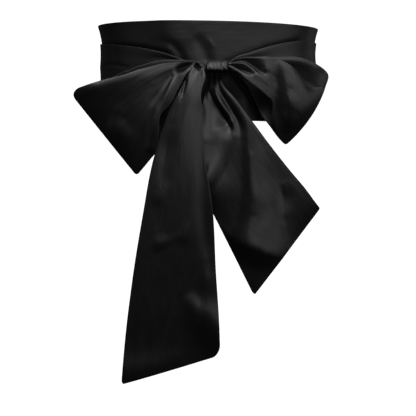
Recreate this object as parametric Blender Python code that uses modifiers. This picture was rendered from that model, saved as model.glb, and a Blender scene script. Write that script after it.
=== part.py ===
"""A black satin sash, worn: two turns round a waist, tied in front in a bow with two hanging tails.

The sash is one strip of double satin. Each stretch of it that shows is its own object: the inner
turn, the outer turn that gathers into the knot, the knot, the two loops and the two tails.

Frame: +Z up, X to the right and -Y to the front. The origin is the centre of the waist hollow, at
half the height of the band. Every size and place below is in millimetres.
"""

from collections import namedtuple

import bmesh
import bpy
import numpy as np

MM = 0.001

# The strip and its turns round the waist
WALL = 1.2                # a double layer of satin with its seam allowances
BAND_TOP = 63.0           # the band's edges in front, from the middle of its height
BAND_BOTTOM = -63.2
BAND_RISE = 21.0          # the bottom edge rises by this much towards the sides and the back
RISE_START = 34.0         # degrees from the front where that rise begins and ends
RISE_END = 92.0
WAIST_HALF_WIDTH = 139.2  # to the middle of the inner turn's wall
WAIST_HALF_DEPTH = 101.4
TURN_STEP = 2.3           # from the middle of the inner wall to the middle of the outer one
MM_PER_DEGREE = 2.1       # round the waist
ROLL = 0.015              # the worn band sits this much lower per millimetre to the right
FLARE = 6.0               # the band's top edge stands out at the sides by this much
FLARE_START = 28.0        # height at which the flare begins
LEAN = 1.0                # and leans in towards the waist in front by this much
LEAN_START = -20.0        # height at which that lean begins

# The knot: a sleeve of cloth round the middle of the bow, along X
KNOT_LEFT = -1.0
KNOT_RIGHT = 24.5
KNOT_CENTRE = (-105.5, 3.5)  # y, z of the place from which its section swells and shrinks
KNOT_RADIUS = 12.0           # of the section, on average
KNOT_SWELL = 0.9             # the middle is fatter than the ends by this much
KNOT_END = 3.5               # the ends are drawn in over this width
KNOT_TAPER = 0.05            # by this share of the section

# The folded ends of the loops are round noses, not sharp creases
NOSE = 19.0
NOSE_REACH = 0.4
NOSE_CALM = 0.2  # share of the loop's length, next to its fold, over which gathers and folds fade

# How many points lie along (or round) each piece of cloth, and how many across it
POINTS_TURN_INNER = (60, 11)
POINTS_TURN_OUTER_END = 24
POINTS_TURN_OUTER_BACK = 18
POINTS_TURN_OUTER_ACROSS = 10
POINTS_LOOP_LEFT = (17, 15)
POINTS_LOOP_RIGHT = (17, 16)
POINTS_TAIL_LEFT = (34, 15)
POINTS_TAIL_RIGHT = (30, 19)
POINTS_TAIL_CORNER = 4
POINTS_KNOT = (28, 11)
FRONT_CROWDING = 0.5  # the inner turn's points are this much closer in front than on average
TOP_CROWDING = 1.3    # and closer together towards its flared top edge
STEPS_ON_FOLD = 40
TINY = 1e-9

BLACK = (0.012, 0.012, 0.013, 1.0)
SATIN_ROUGHNESS = 0.38

# A section across a piece of cloth: three points, the first and last on its edges. "at" runs from 0
# at the knot to 1 at the loop's fold or the tail's cut end.
Section = namedtuple("Section", "at first middle last")

# A section of the outer turn: its angle from the front, to the right, its edges' heights, and how
# far it stands out from the even turn.
Turn = namedtuple("Turn", "angle top bottom lift")

# A soft fold: the (x, z) points that it runs through, and its lift towards the front (below 0 for
# a valley) and half width at each of them. "lean" above 0 makes the side to the left of the path
# wider and the other side steeper.
Fold = namedtuple("Fold", "path lift width lean", defaults=(0.0,))

# Gathers that spread from the knot: how many ripples lie across the cloth, their height as a share
# of the room that their walls leave between them, how far along the cloth they have faded to a
# third, and the first ripple's phase in turns.
Gathers = namedtuple("Gathers", "count height reach phase")
Pleat = namedtuple("Pleat", "place depth width")

LOOP_LEFT_FRONT = (
    Section(0.00, (2, -114.5, 7.5), (2, -115, 4.5), (2, -114.5, 1.5)),
    Section(0.12, (-23, -122, 9.0), (-24, -124.5, 4), (-20, -122, -1)),
    Section(0.28, (-59, -133, 5.5), (-51, -132.5, -8), (-35, -130.5, -23)),
    Section(0.39, (-78, -136, 0.5), (-67, -135, -19.5), (-45.5, -134, -44)),
    Section(0.45, (-87, -137, -2.0), (-74, -135, -25), (-56.5, -135, -55)),
    Section(0.60, (-107, -137, -9.0), (-91, -133, -40), (-61, -133.5, -80)),
    Section(0.75, (-130, -134, -14.0), (-107, -128.5, -54), (-65, -129.5, -102)),
    Section(0.88, (-150, -129, -19.8), (-120, -122.5, -68), (-76, -124.5, -118)),
    Section(1.00, (-174.5, -119, -28.0), (-131.5, -115, -82), (-89.5, -117.5, -134)),
)
LOOP_LEFT_BACK = (
    Section(0.00, (2, -110, 7.5), (2, -110, 4.5), (2, -110, 2)),
    Section(0.12, (-23, -111.5, 11.5), (-23, -111, 4), (-22, -111, -2)),
    Section(0.28, (-58, -110, 11.5), (-53, -108, -8), (-40, -110, -26)),
    Section(0.45, (-84, -107, 6.0), (-74, -105, -24), (-49, -109, -52)),
    Section(0.60, (-105, -104, -1.5), (-89, -103, -39), (-54, -109, -76)),
    Section(0.75, (-129, -103, -12.5), (-103, -103, -54), (-61, -111, -98)),
    Section(0.88, (-150, -110, -19.8), (-118, -107.5, -68), (-74, -114, -115)),
    Section(1.00, (-174.5, -119, -28.0), (-131.5, -115, -82), (-89.5, -117.5, -134)),
)
LOOP_RIGHT_FRONT = (
    Section(0.00, (21.5, -114.5, 6.4), (21.5, -115, 4), (21.5, -114.5, 1.5)),
    Section(0.12, (38, -122, 13.5), (39, -124.5, 4.5), (36, -122.5, -4)),
    Section(0.28, (62, -128.5, 14.5), (59, -132, -2), (49, -132.5, -15)),
    Section(0.45, (82, -130.5, 13.5), (80, -135, -12), (71, -136, -33)),
    Section(0.60, (101, -129, 5.5), (95, -134, -22), (80, -132, -43)),
    Section(0.75, (113, -125, -5.0), (108, -129.5, -36), (80.5, -124, -64)),
    Section(0.88, (127.5, -117, -22.5), (120, -123, -51), (88.5, -118, -83)),
    Section(1.00, (148.5, -107, -21.0), (128.5, -112, -61), (97.5, -115, -95.5)),
)
LOOP_RIGHT_BACK = (
    Section(0.00, (21.5, -110.5, 6.4), (21.5, -110.5, 4), (21.5, -110.5, 2)),
    Section(0.12, (38, -111.5, 12.5), (38, -111, 3), (36, -111.5, -7)),
    Section(0.28, (62, -110, 14.5), (56, -108, -6), (49, -112, -20)),
    Section(0.45, (90, -106, 16.5), (80, -105, -11), (57.5, -112.5, -36)),
    Section(0.60, (115, -101, 16.5), (99, -102, -20), (66.5, -110, -56)),
    Section(0.75, (137.5, -98, 8.5), (117, -99, -32), (79, -112, -73)),
    Section(0.88, (152.5, -99, -5.0), (129, -103, -45), (88.5, -112, -86)),
    Section(1.00, (148.5, -107, -21.0), (128.5, -112, -61), (97.5, -115, -95.5)),
)
TAIL_LEFT = (
    Section(0.00, (1, -117.5, 5), (1, -118, 2.8), (1, -117.5, 0.6)),
    Section(0.05, (-14, -125, 8.5), (-8, -126, 3), (-4.5, -125.5, -2)),
    Section(0.10, (-24, -129, -6), (-12.5, -132, -7), (-0.5, -130.5, -10)),
    Section(0.17, (-35, -137, -28), (-20, -140, -29), (-6.2, -139, -30)),
    Section(0.25, (-48.5, -137.5, -54), (-27, -143.5, -55), (-6.5, -143.2, -56)),
    Section(0.38, (-66.5, -138.5, -108), (-35, -148, -107), (-5, -148.5, -105)),
    Section(0.58, (-81.2, -140, -183), (-38, -149, -181), (6, -151, -178)),
    Section(0.78, (-95.2, -136, -270), (-42, -143, -263), (10, -145.5, -255)),
    Section(0.92, (-104.4, -129, -345), (-45, -136, -332), (14, -136, -318)),
    Section(1.00, (-108.7, -124, -396), (-46, -130, -377.5), (15.5, -131, -358.5)),
)
TAIL_RIGHT = (
    Section(0.00, (3, -115, -4.8), (10.5, -116, -4.8), (18, -115, -4.8)),
    Section(0.09, (-1, -110, -19), (9.5, -111, -18.5), (18, -111, -17)),
    Section(0.20, (-7, -119.5, -45), (14, -119, -42), (35, -121, -38)),
    Section(0.32, (-12, -124, -80), (20, -123, -72), (52, -124, -61)),
    Section(0.48, (-13, -121, -120), (32.5, -123, -109), (77.5, -121, -95)),
    Section(0.64, (-4, -120, -160), (49.5, -121.5, -145), (102, -119, -126)),
    Section(0.79, (14, -118, -197), (68, -121, -177), (122.3, -118, -150)),
    Section(0.90, (35, -114, -239), (84, -118, -206), (133.5, -117, -165)),
    Section(1.00, (58, -108, -285.5), (99.8, -113, -230.5), (141.5, -117, -175)),
)
TURN_OUTER = (
    Turn(9.6, 7.6, 2.4, 5.9),
    Turn(14.0, 16.5, -12.0, 3.9),
    Turn(21.0, 22.8, -34.0, 1.6),
    Turn(34.0, 33.0, -56.0, 0.5),
    Turn(56.0, 43.0, -57.0, 0.1),
    Turn(90.0, 44.0, -42.0, 0.0),
    Turn(180.0, 44.5, -41.0, 0.0),
    Turn(270.0, 41.5, -42.0, 0.0),
    Turn(303.0, 36.4, -57.0, 0.1),
    Turn(324.0, 30.2, -56.0, 0.5),
    Turn(339.0, 20.6, -36.0, 1.6),
    Turn(348.0, 11.8, -14.0, 3.4),
    Turn(360.8, 7.6, 2.0, 5.0),
)

# Under the knot both turns draw back towards the waist
FOLDS_BOTH_TURNS = (
    Fold(((-30, -45), (5, -45), (30, -46), (50, -48)), (-0.5, -4.0, -4.0, -0.5), (20, 24, 24, 20)),
    Fold(((-36, -74), (0, -76), (30, -76), (54, -74)), (-0.5, -5.0, -5.0, -0.5), (26, 32, 32, 26)),
)
FOLDS_TURN_INNER = (
    Fold(
        ((-72, 39), (-61, 38), (-46, 33.5), (-38, 24.5), (-31, 13.5)),
        (-0.2, -0.8, -2.2, -3.0, -2.6),
        (4, 5, 6, 6, 5),
    ),
    Fold(((-4, 46), (3, 31), (10, 14)), (0.4, 2.6, 3.0), (13, 15, 15), 0.35),
    Fold(((-54, 66), (-52, 48), (-47, 30), (-40, 10)), (3.0, 3.0, 2.2, 1.2), (19, 18, 14, 8), 0.4),
)
# On the sides and back of the outer turn, the first place of a point is its way round the waist
FOLDS_TURN_BACK = (
    Fold(((150, 20), (220, 12), (300, 16)), (0.6, 1.0, 1.4), (6, 7, 8)),
    Fold(((200, -16), (300, -24), (400, -18)), (1.2, 1.0, 0.8), (7, 7.5, 8)),
    Fold(((330, 26), (420, 30), (520, 22)), (0.8, 1.0, 1.2), (8, 7, 6)),
    Fold(((440, -2), (520, 4), (610, 12)), (1.4, 1.0, 0.6), (8, 7, 6)),
)
FOLDS_LOOP_LEFT = (
    Fold(
        ((-166, -22), (-139, -12.5), (-115, -3), (-92, 5.5), (-68, 12), (-48, 14), (-30, 13.5)),
        (-4.0, -6.5, -8.0, -8.5, -7.0, -4.0, -2.0),
        (4.5, 5.5, 6.5, 7.5, 7.5, 6.5, 4.5),
    ),
    Fold(
        ((-38, -4), (-49, -21), (-58, -38), (-65, -53), (-68.5, -68), (-71.5, -94)),
        (1.5, 5.0, 7.0, 7.0, 6.5, 5.0),
        (4, 7.5, 8.5, 7.5, 6, 5.4),
        0.3,
    ),
    Fold(((-17, 6.5), (-25, 4.5), (-34, -0.5)), (-2.0, -6.5, -9.0), (2.8, 4.0, 4.6)),
    Fold(((-112, -62), (-116, -86), (-113, -108), (-105, -128)), (0.5, 5.0, 7.0, 2.0), (9, 12, 13, 12), 0.3),
)
FOLDS_LOOP_LEFT_BACK = (
    Fold(((-100, 3), (-80, 11), (-58, 15), (-36, 15)), (-1.0, -1.5, -1.5, -1.0), (4, 4, 4, 4)),
)
FOLDS_LOOP_RIGHT = (
    Fold(
        ((30, 8), (45, 8.6), (56, 3.0), (64, -3.5), (69, -7)),
        (-1.5, -3.8, -5.6, -5.4, -2.4),
        (2.0, 3.2, 4.6, 4.8, 3.6),
        0.5,
    ),
    Fold(((29, 4), (42, -1.5), (53, -6), (58, -6)), (-1.5, -3.4, -3.6, -1.0), (2.0, 3.4, 4.0, 3.0), 0.4),
    Fold(
        ((82, 19.5), (95, 13), (107, 8), (115, 1), (124, -7.5), (132, -19), (140, -25)),
        (-2.5, -3.6, -4.2, -4.4, -4.4, -4.0, -2.0),
        (4, 4.8, 5.2, 5.4, 5.4, 5, 4.4),
    ),
    Fold(((82, 8), (83, -18), (88, -46), (95, -80)), (-2.5, -6.2, -5.6, -2.0), (8, 9, 10, 10)),
    Fold(((92, -76), (104, -70), (115, -58)), (0.5, 3.5, 1.0), (12, 14, 12)),
)
FOLDS_LOOP_RIGHT_BACK = (
    Fold(((70, 17), (94, 19), (118, 19.5), (137, 11)), (-1.5, -3.4, -3.4, -1.5), (4, 5, 5.5, 5)),
    Fold(((88, 14), (104, 14.5), (121, 12), (135, 4)), (1.0, 3.0, 3.0, 0.8), (6.5, 7, 7, 6.5), -0.3),
    Fold(((126, -18), (136, -25), (146, -32)), (0.4, 1.8, 1.0), (9, 9, 8)),
)
FOLDS_TAIL_LEFT = (
    Fold(((-15, 4), (-11, 0)), (-7.5, -6.0), (2.8, 2.8)),
    Fold(
        ((-6, -28), (-7, -60), (-6, -100), (-3, -140), (1, -180), (5, -215)),
        (-0.5, -2.2, -2.6, -2.4, -2.2, -0.5),
        (4, 5, 6, 7, 7.5, 8),
    ),
    Fold(((-45, -72), (-50, -100), (-57, -130)), (-0.5, -2.4, -0.5), (7, 8, 9)),
    Fold(
        ((-36, -270), (-27, -281), (-11, -299), (4, -317), (19, -333)),
        (0.2, 3.0, 7.0, 8.0, 7.5),
        (8, 10, 12.5, 14, 15),
        0.4,
    ),
    Fold(((-3, -236), (-2, -266), (1, -298)), (0.5, 2.4, 2.0), (9, 10, 10), 0.2),
    Fold(((-66, -150), (-78, -230), (-86, -310)), (0.4, 1.4, 0.8), (12, 14, 16)),
    Fold(((-100, -376), (-74, -370), (-40, -360)), (3.0, 3.0, 0.6), (18, 17, 13)),
)
FOLDS_TAIL_RIGHT = (
    Fold(
        ((4, -16), (8.5, -29), (14.5, -44), (20.5, -56.5), (25, -66)),
        (-1.0, -6.0, -10.0, -11.0, -7.0),
        (2.6, 4.2, 5.8, 6.4, 5.4),
    ),
    Fold(((-4, -16), (-2, -30), (-2, -42), (0, -54)), (-2.0, -5.5, -4.5, -0.5), (6, 7, 6, 5)),
    Fold(
        ((5, -15.5), (8.8, -28), (19, -43.5), (27, -56.5), (34, -72), (31.5, -82.5), (24, -83), (18, -76)),
        (0.8, 2.0, 2.6, 2.8, 2.8, 2.4, 1.8, 0.4),
        (2.4, 2.8, 3.4, 3.6, 3.8, 4.0, 4.0, 4.0),
        0.3,
    ),
    Fold(
        ((11, -20), (23, -37), (34.5, -56), (41, -72), (43, -88)),
        (-0.5, -2.6, -3.0, -2.6, -0.5),
        (3, 4, 5, 6, 6),
    ),
    Fold(
        ((36, -50), (48, -72), (53, -104), (55, -136), (57, -166), (61, -194), (65, -212)),
        (0.5, 2.5, 4.6, 7.0, 9.5, 8.5, 3.0),
        (8, 12, 14, 16, 20, 21, 17),
        0.2,
    ),
    Fold(((-12, -142), (3, -146), (14, -152)), (7.0, 9.0, 4.0), (29, 30, 26)),
    Fold(
        ((22, -195), (43, -212), (64, -226), (84, -232), (104, -230)),
        (1.0, 6.0, 9.5, 7.0, 1.0),
        (12, 18, 19, 18, 15),
        0.5,
    ),
    Fold(((118, -208), (150, -172)), (-14.0, -16.0), (27, 29)),
)

GATHERS_TURN_OUTER = Gathers(4.5, 0.09, 0.06, 0.1)
GATHERS_LOOP = Gathers(3.0, 0.12, 0.15, 0.3)
GATHERS_TAIL_LEFT = Gathers(2.5, 0.10, 0.10, 0.0)
GATHERS_TAIL_RIGHT = Gathers(2.5, 0.20, 0.12, 0.0)

# The knot's section: (y, z), round from the top at the back
KNOT_SECTION = (
    (-106, 9.2), (-111.5, 11.3), (-117.5, 9.3), (-122, 5.5), (-124.5, 1.5), (-123, -1.2),
    (-118.5, -2.6), (-110.5, -2.2), (-105.4, 1.8),
)
# Pleats round the knot: their place along it, from 0 to 1, their depth and half width there
KNOT_PLEATS = (
    Pleat(0.12, 0.7, 0.040),
    Pleat(0.27, 0.5, 0.045),
    Pleat(0.42, 0.8, 0.040),
    Pleat(0.58, 0.5, 0.050),
    Pleat(0.76, 1.2, 0.040),
)

# Rounded corners: at the first edge and at the last edge
CORNERS_LOOP_LEFT = (12.0, 4.0)
CORNERS_LOOP_RIGHT = (6.0, 3.0)
CORNERS_TAIL_LEFT = (4.0, 11.0)
CORNERS_TAIL_RIGHT = (4.0, 3.0)


def curve_through(knots, values, at, level_ends=False):
    """The values at the places "at" of a smooth curve that passes through values at its knots."""
    knots = np.asarray(knots, float)
    values = np.asarray(values, float)
    slopes = np.gradient(values, knots, axis=0)
    if level_ends:
        slopes[[0, -1]] = 0
    left = np.clip(np.searchsorted(knots, at) - 1, 0, len(knots) - 2)
    span = knots[left + 1] - knots[left]
    s = (at - knots[left]) / span
    if values.ndim > 1:
        span, s = span[..., None], s[..., None]
    rise = s * s * (3 - 2 * s)
    leave = s * (1 - s) ** 2 * span
    arrive = s * s * (s - 1) * span
    start = values[left] * (1 - rise) + slopes[left] * leave
    return start + values[left + 1] * rise + slopes[left + 1] * arrive


def across(sections, at, v):
    """Points of a patch of cloth, "at" along it and v from its first edge, 0, to its last, 1."""
    knots = [section.at for section in sections]
    first = curve_through(knots, [section.first for section in sections], at)
    middle = curve_through(knots, [section.middle for section in sections], at)
    last = curve_through(knots, [section.last for section in sections], at)
    v = v[..., None]
    return first * (1 - v) * (1 - 2 * v) + middle * 4 * v * (1 - v) + last * v * (2 * v - 1)


def fold_height(fold, x, z):
    """How far one fold lifts the points (x, z): a soft bell across its path."""
    knots = range(len(fold.path))
    steps = np.linspace(0, len(fold.path) - 1, STEPS_ON_FOLD)
    path = curve_through(knots, fold.path, steps)
    nearest = np.full(x.shape, np.inf)
    where = np.zeros(x.shape)
    side = np.zeros(x.shape)
    for number, (a, b) in enumerate(zip(path[:-1], path[1:])):
        step = b - a
        t = ((x - a[0]) * step[0] + (z - a[1]) * step[1]) / (step @ step)
        t = np.clip(t, 0, 1)
        off_x, off_z = x - a[0] - t * step[0], z - a[1] - t * step[1]
        distance = np.hypot(off_x, off_z) + TINY
        leftwards = (step[0] * off_z - step[1] * off_x) / np.hypot(*step) / distance
        closer = distance < nearest
        nearest = np.where(closer, distance, nearest)
        where = np.where(closer, steps[number] + t * (steps[1] - steps[0]), where)
        side = np.where(closer, leftwards, side)
    lift = curve_through(knots, fold.lift, where, level_ends=True)
    width = curve_through(knots, fold.width, where, level_ends=True) * (1 + fold.lean * side)
    return lift * np.exp(-((nearest / width) ** 2))


def relief(folds, x, z):
    return sum(fold_height(fold, x, z) for fold in folds)


def gather_height(gathers, at, v, width):
    """Ripples across the cloth, as high as its width there lets them be, that fade along it."""
    room = np.clip(width / gathers.count - 2 * WALL, 0, None)
    height = gathers.height * room * np.exp(-at / gathers.reach)
    return height * np.sin(2 * np.pi * (gathers.count * v + gathers.phase))


def round_corners(radii, distance, width, v):
    """v drawn in from both edges, so that the corners at distance 0 are quarter circles."""
    inset = [r - np.sqrt(r * r - np.clip(r - distance, 0, r) ** 2) for r in radii]
    return inset[0] / width + v * (1 - (inset[0] + inset[1]) / width)


def width_at(sections, at):
    """The straight width of the cloth at each place along it."""
    edges = across(sections, at, np.zeros_like(at)), across(sections, at, np.ones_like(at))
    return np.linalg.norm(edges[0] - edges[1], axis=-1)


def length_of(sections):
    middle = np.array([section.middle for section in sections], float)
    return np.linalg.norm(np.diff(middle, axis=0), axis=1).sum()


def width_of(section):
    return np.linalg.norm(np.subtract(section.first, section.last))


def tail_points(sections, folds, gathers, corners, along_count, across_count):
    """A hanging tail: a grid of points, with rows closer together at its cut end."""
    length = length_of(sections)
    corner = max(corners) / length
    body = np.linspace(0, 1 - corner, along_count)
    quarter = np.linspace(0, np.pi / 2, POINTS_TAIL_CORNER + 1)[1:]
    end = 1 - corner * (1 - np.sin(quarter))
    at, v = np.meshgrid(np.append(body, end), np.linspace(0, 1, across_count), indexing="ij")
    v = round_corners(corners, (1 - at) * length, width_of(sections[-1]), v)
    points = across(sections, at, v)
    points[..., 1] -= relief(folds, points[..., 0], points[..., 2])
    points[..., 1] -= gather_height(gathers, at, v, width_at(sections, at))
    return points


def loop_points(front, back, folds, folds_behind, corners, along_count, across_count):
    """A bow's loop: out from the knot in front, round its fold, and back behind."""
    turn = np.linspace(-1, 1, 2 * along_count + 1)
    w, v = np.meshgrid(turn, np.linspace(0, 1, across_count), indexing="ij")
    at = 1 - w * w * (2 - np.abs(w))
    v = round_corners(corners, (1 - at) * length_of(front), width_of(front[-1]), v)
    points = np.where((w < 0)[..., None], across(front, at, v), across(back, at, v))
    points[..., 1] += NOSE * w * np.exp(-((w / NOSE_REACH) ** 2))
    ripples = gather_height(GATHERS_LOOP, at, v, width_at(front, at))
    raised = ripples + relief(folds, points[..., 0], points[..., 2])
    behind = relief(folds_behind, points[..., 0], points[..., 2]) - ripples
    clear_of_fold = np.clip((1 - at) / NOSE_CALM, 0, 1)
    points[..., 1] -= np.where(w < 0, raised, behind) * clear_of_fold
    return points


def ring_points(angle, height, out):
    """Points of a turn round the waist, moved out of its even form by "out"."""
    sine, cosine = np.sin(angle), np.cos(angle)
    normal = np.stack([sine / WAIST_HALF_WIDTH, -cosine / WAIST_HALF_DEPTH], axis=-1)
    normal /= np.linalg.norm(normal, axis=-1, keepdims=True)
    flare = np.clip((height - FLARE_START) / (BAND_TOP - FLARE_START), 0, 1) * sine
    lean = np.clip((height - LEAN_START) / (BAND_TOP - LEAN_START), 0, 1) * np.clip(cosine, 0, 1)
    out = out + FLARE * flare * flare - LEAN * lean
    x = WAIST_HALF_WIDTH * sine + normal[..., 0] * out
    y = -WAIST_HALF_DEPTH * cosine + normal[..., 1] * out
    return np.stack([x, y, height - ROLL * x], axis=-1)


def front_relief(folds, points, angle):
    """The folds' height on a turn, on its front half only."""
    return np.where(np.cos(angle) > 0, relief(folds, points[..., 0], points[..., 2]), 0)


def band_bottom(angle):
    """Height of the band's bottom edge: level in front, risen at the sides and the back."""
    from_front = np.degrees(np.arccos(np.cos(angle)))
    share = np.clip((from_front - RISE_START) / (RISE_END - RISE_START), 0, 1)
    return BAND_BOTTOM + BAND_RISE * share * share * (3 - 2 * share)


def turn_inner_points(around_count, up_count):
    """The inner turn, with its points closer together in front and towards its top edge."""
    even = np.linspace(0, 2 * np.pi, around_count + 1)[:-1]
    up = 1 - (1 - np.linspace(0, 1, up_count)) ** TOP_CROWDING
    angle, v = np.meshgrid(even - FRONT_CROWDING * np.sin(even), up, indexing="ij")
    bottom = band_bottom(angle)
    height = bottom + (BAND_TOP - bottom) * v
    even = ring_points(angle, height, np.zeros_like(angle))
    return ring_points(angle, height, front_relief(FOLDS_BOTH_TURNS + FOLDS_TURN_INNER, even, angle))


def turn_outer_points(end_count, back_count, up_count):
    """The outer turn, from the knot's right side round the back to its left side."""
    knots = [turn.angle for turn in TURN_OUTER]
    right = np.linspace(knots[0], 90, end_count)
    back = np.linspace(90, 270, back_count)[1:-1]
    left = np.linspace(270, knots[-1], end_count)
    degrees = np.concatenate([right, back, left])
    angle, v = np.meshgrid(np.radians(degrees), np.linspace(0, 1, up_count), indexing="ij")
    rows = [(turn.top, turn.bottom, turn.lift) for turn in TURN_OUTER]
    top, bottom, lift = np.moveaxis(curve_through(knots, rows, np.degrees(angle)), -1, 0)
    height = top + (bottom - top) * v
    to_end = np.minimum(np.degrees(angle) - knots[0], knots[-1] - np.degrees(angle)) / 360
    out = TURN_STEP + lift + gather_height(GATHERS_TURN_OUTER, to_end, v, top - bottom)
    even = ring_points(angle, height, out)
    out = out + front_relief(FOLDS_BOTH_TURNS, even, angle)
    out = out + relief(FOLDS_TURN_BACK, np.degrees(angle) * MM_PER_DEGREE, height)
    return ring_points(angle, height, out)


def knot_points(around_count, along_count):
    """The knot's sleeve along X, with pleats that run round it."""
    corners = len(KNOT_SECTION)
    knots = np.arange(-2, corners + 3)
    around = np.linspace(0, corners, around_count + 1)[:-1]
    section = curve_through(knots, np.take(KNOT_SECTION, knots, axis=0, mode="wrap"), around)
    _, share = np.meshgrid(around, np.linspace(0, 1, along_count), indexing="ij")
    grooves = sum(p.depth * np.exp(-(((share - p.place) / p.width) ** 2)) for p in KNOT_PLEATS)
    from_end = np.minimum(share, 1 - share) * (KNOT_RIGHT - KNOT_LEFT)
    drawn_in = KNOT_TAPER * np.clip(1 - from_end / KNOT_END, 0, 1) ** 2
    spread = 1 - drawn_in + (KNOT_SWELL * np.sin(np.pi * share) - grooves) / KNOT_RADIUS
    y, z = (KNOT_CENTRE + (section[:, None] - KNOT_CENTRE) * spread[..., None]).transpose(2, 0, 1)
    return np.stack([KNOT_LEFT + (KNOT_RIGHT - KNOT_LEFT) * share, y, z], axis=-1)


def satin():
    material = bpy.data.materials.new("black_satin")
    material.use_nodes = True
    shader = material.node_tree.nodes["Principled BSDF"]
    shader.inputs["Base Color"].default_value = BLACK
    shader.inputs["Roughness"].default_value = SATIN_ROUGHNESS
    shader.inputs["Metallic"].default_value = 0.0
    return material


def cloth(name, points, material, collection, closed=False):
    """A wall of cloth through a grid of points. A closed grid's last row meets its first."""
    mesh = bpy.data.meshes.new(name)
    form = bmesh.new()
    rows = [[form.verts.new(point * MM) for point in row] for row in points]
    following = rows[1:] + rows[:1] if closed else rows[1:]
    for row, next_row in zip(rows, following):
        for a, b, c, d in zip(row[:-1], row[1:], next_row[1:], next_row[:-1]):
            form.faces.new((a, b, c, d)).smooth = True
    bmesh.ops.recalc_face_normals(form, faces=form.faces)
    form.to_mesh(mesh)
    form.free()
    mesh.materials.append(material)
    piece = bpy.data.objects.new(name, mesh)
    collection.objects.link(piece)
    wall = piece.modifiers.new("wall", "SOLIDIFY")
    wall.thickness = WALL * MM
    wall.offset = 0
    wall.use_even_offset = True
    return piece


def build():
    for leftover in list(bpy.data.objects):
        bpy.data.objects.remove(leftover, do_unlink=True)
    collection = bpy.data.collections.new("satin_sash")
    bpy.context.scene.collection.children.link(collection)
    black = satin()
    pieces = {
        "turn_outer": turn_outer_points(
            POINTS_TURN_OUTER_END, POINTS_TURN_OUTER_BACK, POINTS_TURN_OUTER_ACROSS
        ),
        "loop_left": loop_points(
            LOOP_LEFT_FRONT,
            LOOP_LEFT_BACK,
            FOLDS_LOOP_LEFT,
            FOLDS_LOOP_LEFT_BACK,
            CORNERS_LOOP_LEFT,
            *POINTS_LOOP_LEFT,
        ),
        "loop_right": loop_points(
            LOOP_RIGHT_FRONT,
            LOOP_RIGHT_BACK,
            FOLDS_LOOP_RIGHT,
            FOLDS_LOOP_RIGHT_BACK,
            CORNERS_LOOP_RIGHT,
            *POINTS_LOOP_RIGHT,
        ),
        "tail_left": tail_points(
            TAIL_LEFT, FOLDS_TAIL_LEFT, GATHERS_TAIL_LEFT, CORNERS_TAIL_LEFT, *POINTS_TAIL_LEFT
        ),
        "tail_right": tail_points(
            TAIL_RIGHT, FOLDS_TAIL_RIGHT, GATHERS_TAIL_RIGHT, CORNERS_TAIL_RIGHT, *POINTS_TAIL_RIGHT
        ),
    }
    for name, points in pieces.items():
        cloth(name, points, black, collection)
    cloth("turn_inner", turn_inner_points(*POINTS_TURN_INNER), black, collection, closed=True)
    cloth("knot", knot_points(*POINTS_KNOT), black, collection, closed=True)


build()
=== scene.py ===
"""The looks of a black satin sash: fine two-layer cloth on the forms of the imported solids.

Each stretch of the sash is a closed shell with two faces and rounded, turned edges. It replaces the
CAD node whose form it follows. Sizes and places are in millimetres, in the CAD's frame: +Z up, X to
the right, -Y to the front, origin in the middle of the waist. The camera's place, the studio and the
flat sizes of the cloth are in metres.
"""

from collections import namedtuple

import bpy
import numpy as np
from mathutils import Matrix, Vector


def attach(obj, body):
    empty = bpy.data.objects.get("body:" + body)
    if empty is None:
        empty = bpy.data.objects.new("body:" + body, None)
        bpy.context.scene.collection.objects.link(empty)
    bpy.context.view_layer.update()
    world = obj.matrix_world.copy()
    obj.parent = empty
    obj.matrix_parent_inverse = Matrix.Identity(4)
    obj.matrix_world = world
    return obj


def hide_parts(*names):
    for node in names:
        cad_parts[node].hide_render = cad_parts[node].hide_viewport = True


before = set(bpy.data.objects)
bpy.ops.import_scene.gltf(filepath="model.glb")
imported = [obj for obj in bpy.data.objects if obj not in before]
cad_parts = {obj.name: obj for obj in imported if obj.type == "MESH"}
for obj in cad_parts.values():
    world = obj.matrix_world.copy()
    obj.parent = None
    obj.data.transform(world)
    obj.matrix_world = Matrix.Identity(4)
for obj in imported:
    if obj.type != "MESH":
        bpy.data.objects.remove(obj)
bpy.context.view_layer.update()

MM = 0.001

# The camera: level, straight in front, with a long lens
CAMERA_PLACE = (0.0, -2.4, -0.1746)
CAMERA_LENS = 157.15
CAMERA_SENSOR = 36.0

# The cloth: two layers of satin, joined at their rounded, turned edges
CLOTH = 0.9                            # thickness between the faces
EDGE_ROUND = 0.7                       # the turned edges are rounded over this width
EDGE_COLUMNS = (0.0, 0.12, 0.35, 0.7)  # distances from the edge of the points that round it
STEP = 1.5                             # between neighbouring points elsewhere, at most about
ROWS_IN_CORNER = 12                    # rows of points over the rounded corners of a cut end

# The strip and its turns round the waist
BAND_TOP = 63.0           # the band's edges in front, from the middle of its height
BAND_BOTTOM = -63.2
BAND_RISE = 21.0          # the bottom edge rises by this much towards the sides and the back
RISE_START = 34.0         # degrees from the front where that rise begins and ends
RISE_END = 92.0
WAIST_HALF_WIDTH = 139.2  # to the middle of the inner turn's cloth
WAIST_HALF_DEPTH = 101.4
TURN_STEP = 2.3           # from the middle of the inner turn's cloth to that of the outer turn
MM_PER_DEGREE = 2.1       # round the waist
ROLL = 0.015              # the worn band sits this much lower per millimetre to the right
FLARE = 6.0               # the band's top edge stands out at the sides by this much
FLARE_START = 28.0        # height at which the flare begins
LEAN = 1.0                # and leans in towards the waist in front by this much
LEAN_START = -20.0        # height at which that lean begins

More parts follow.
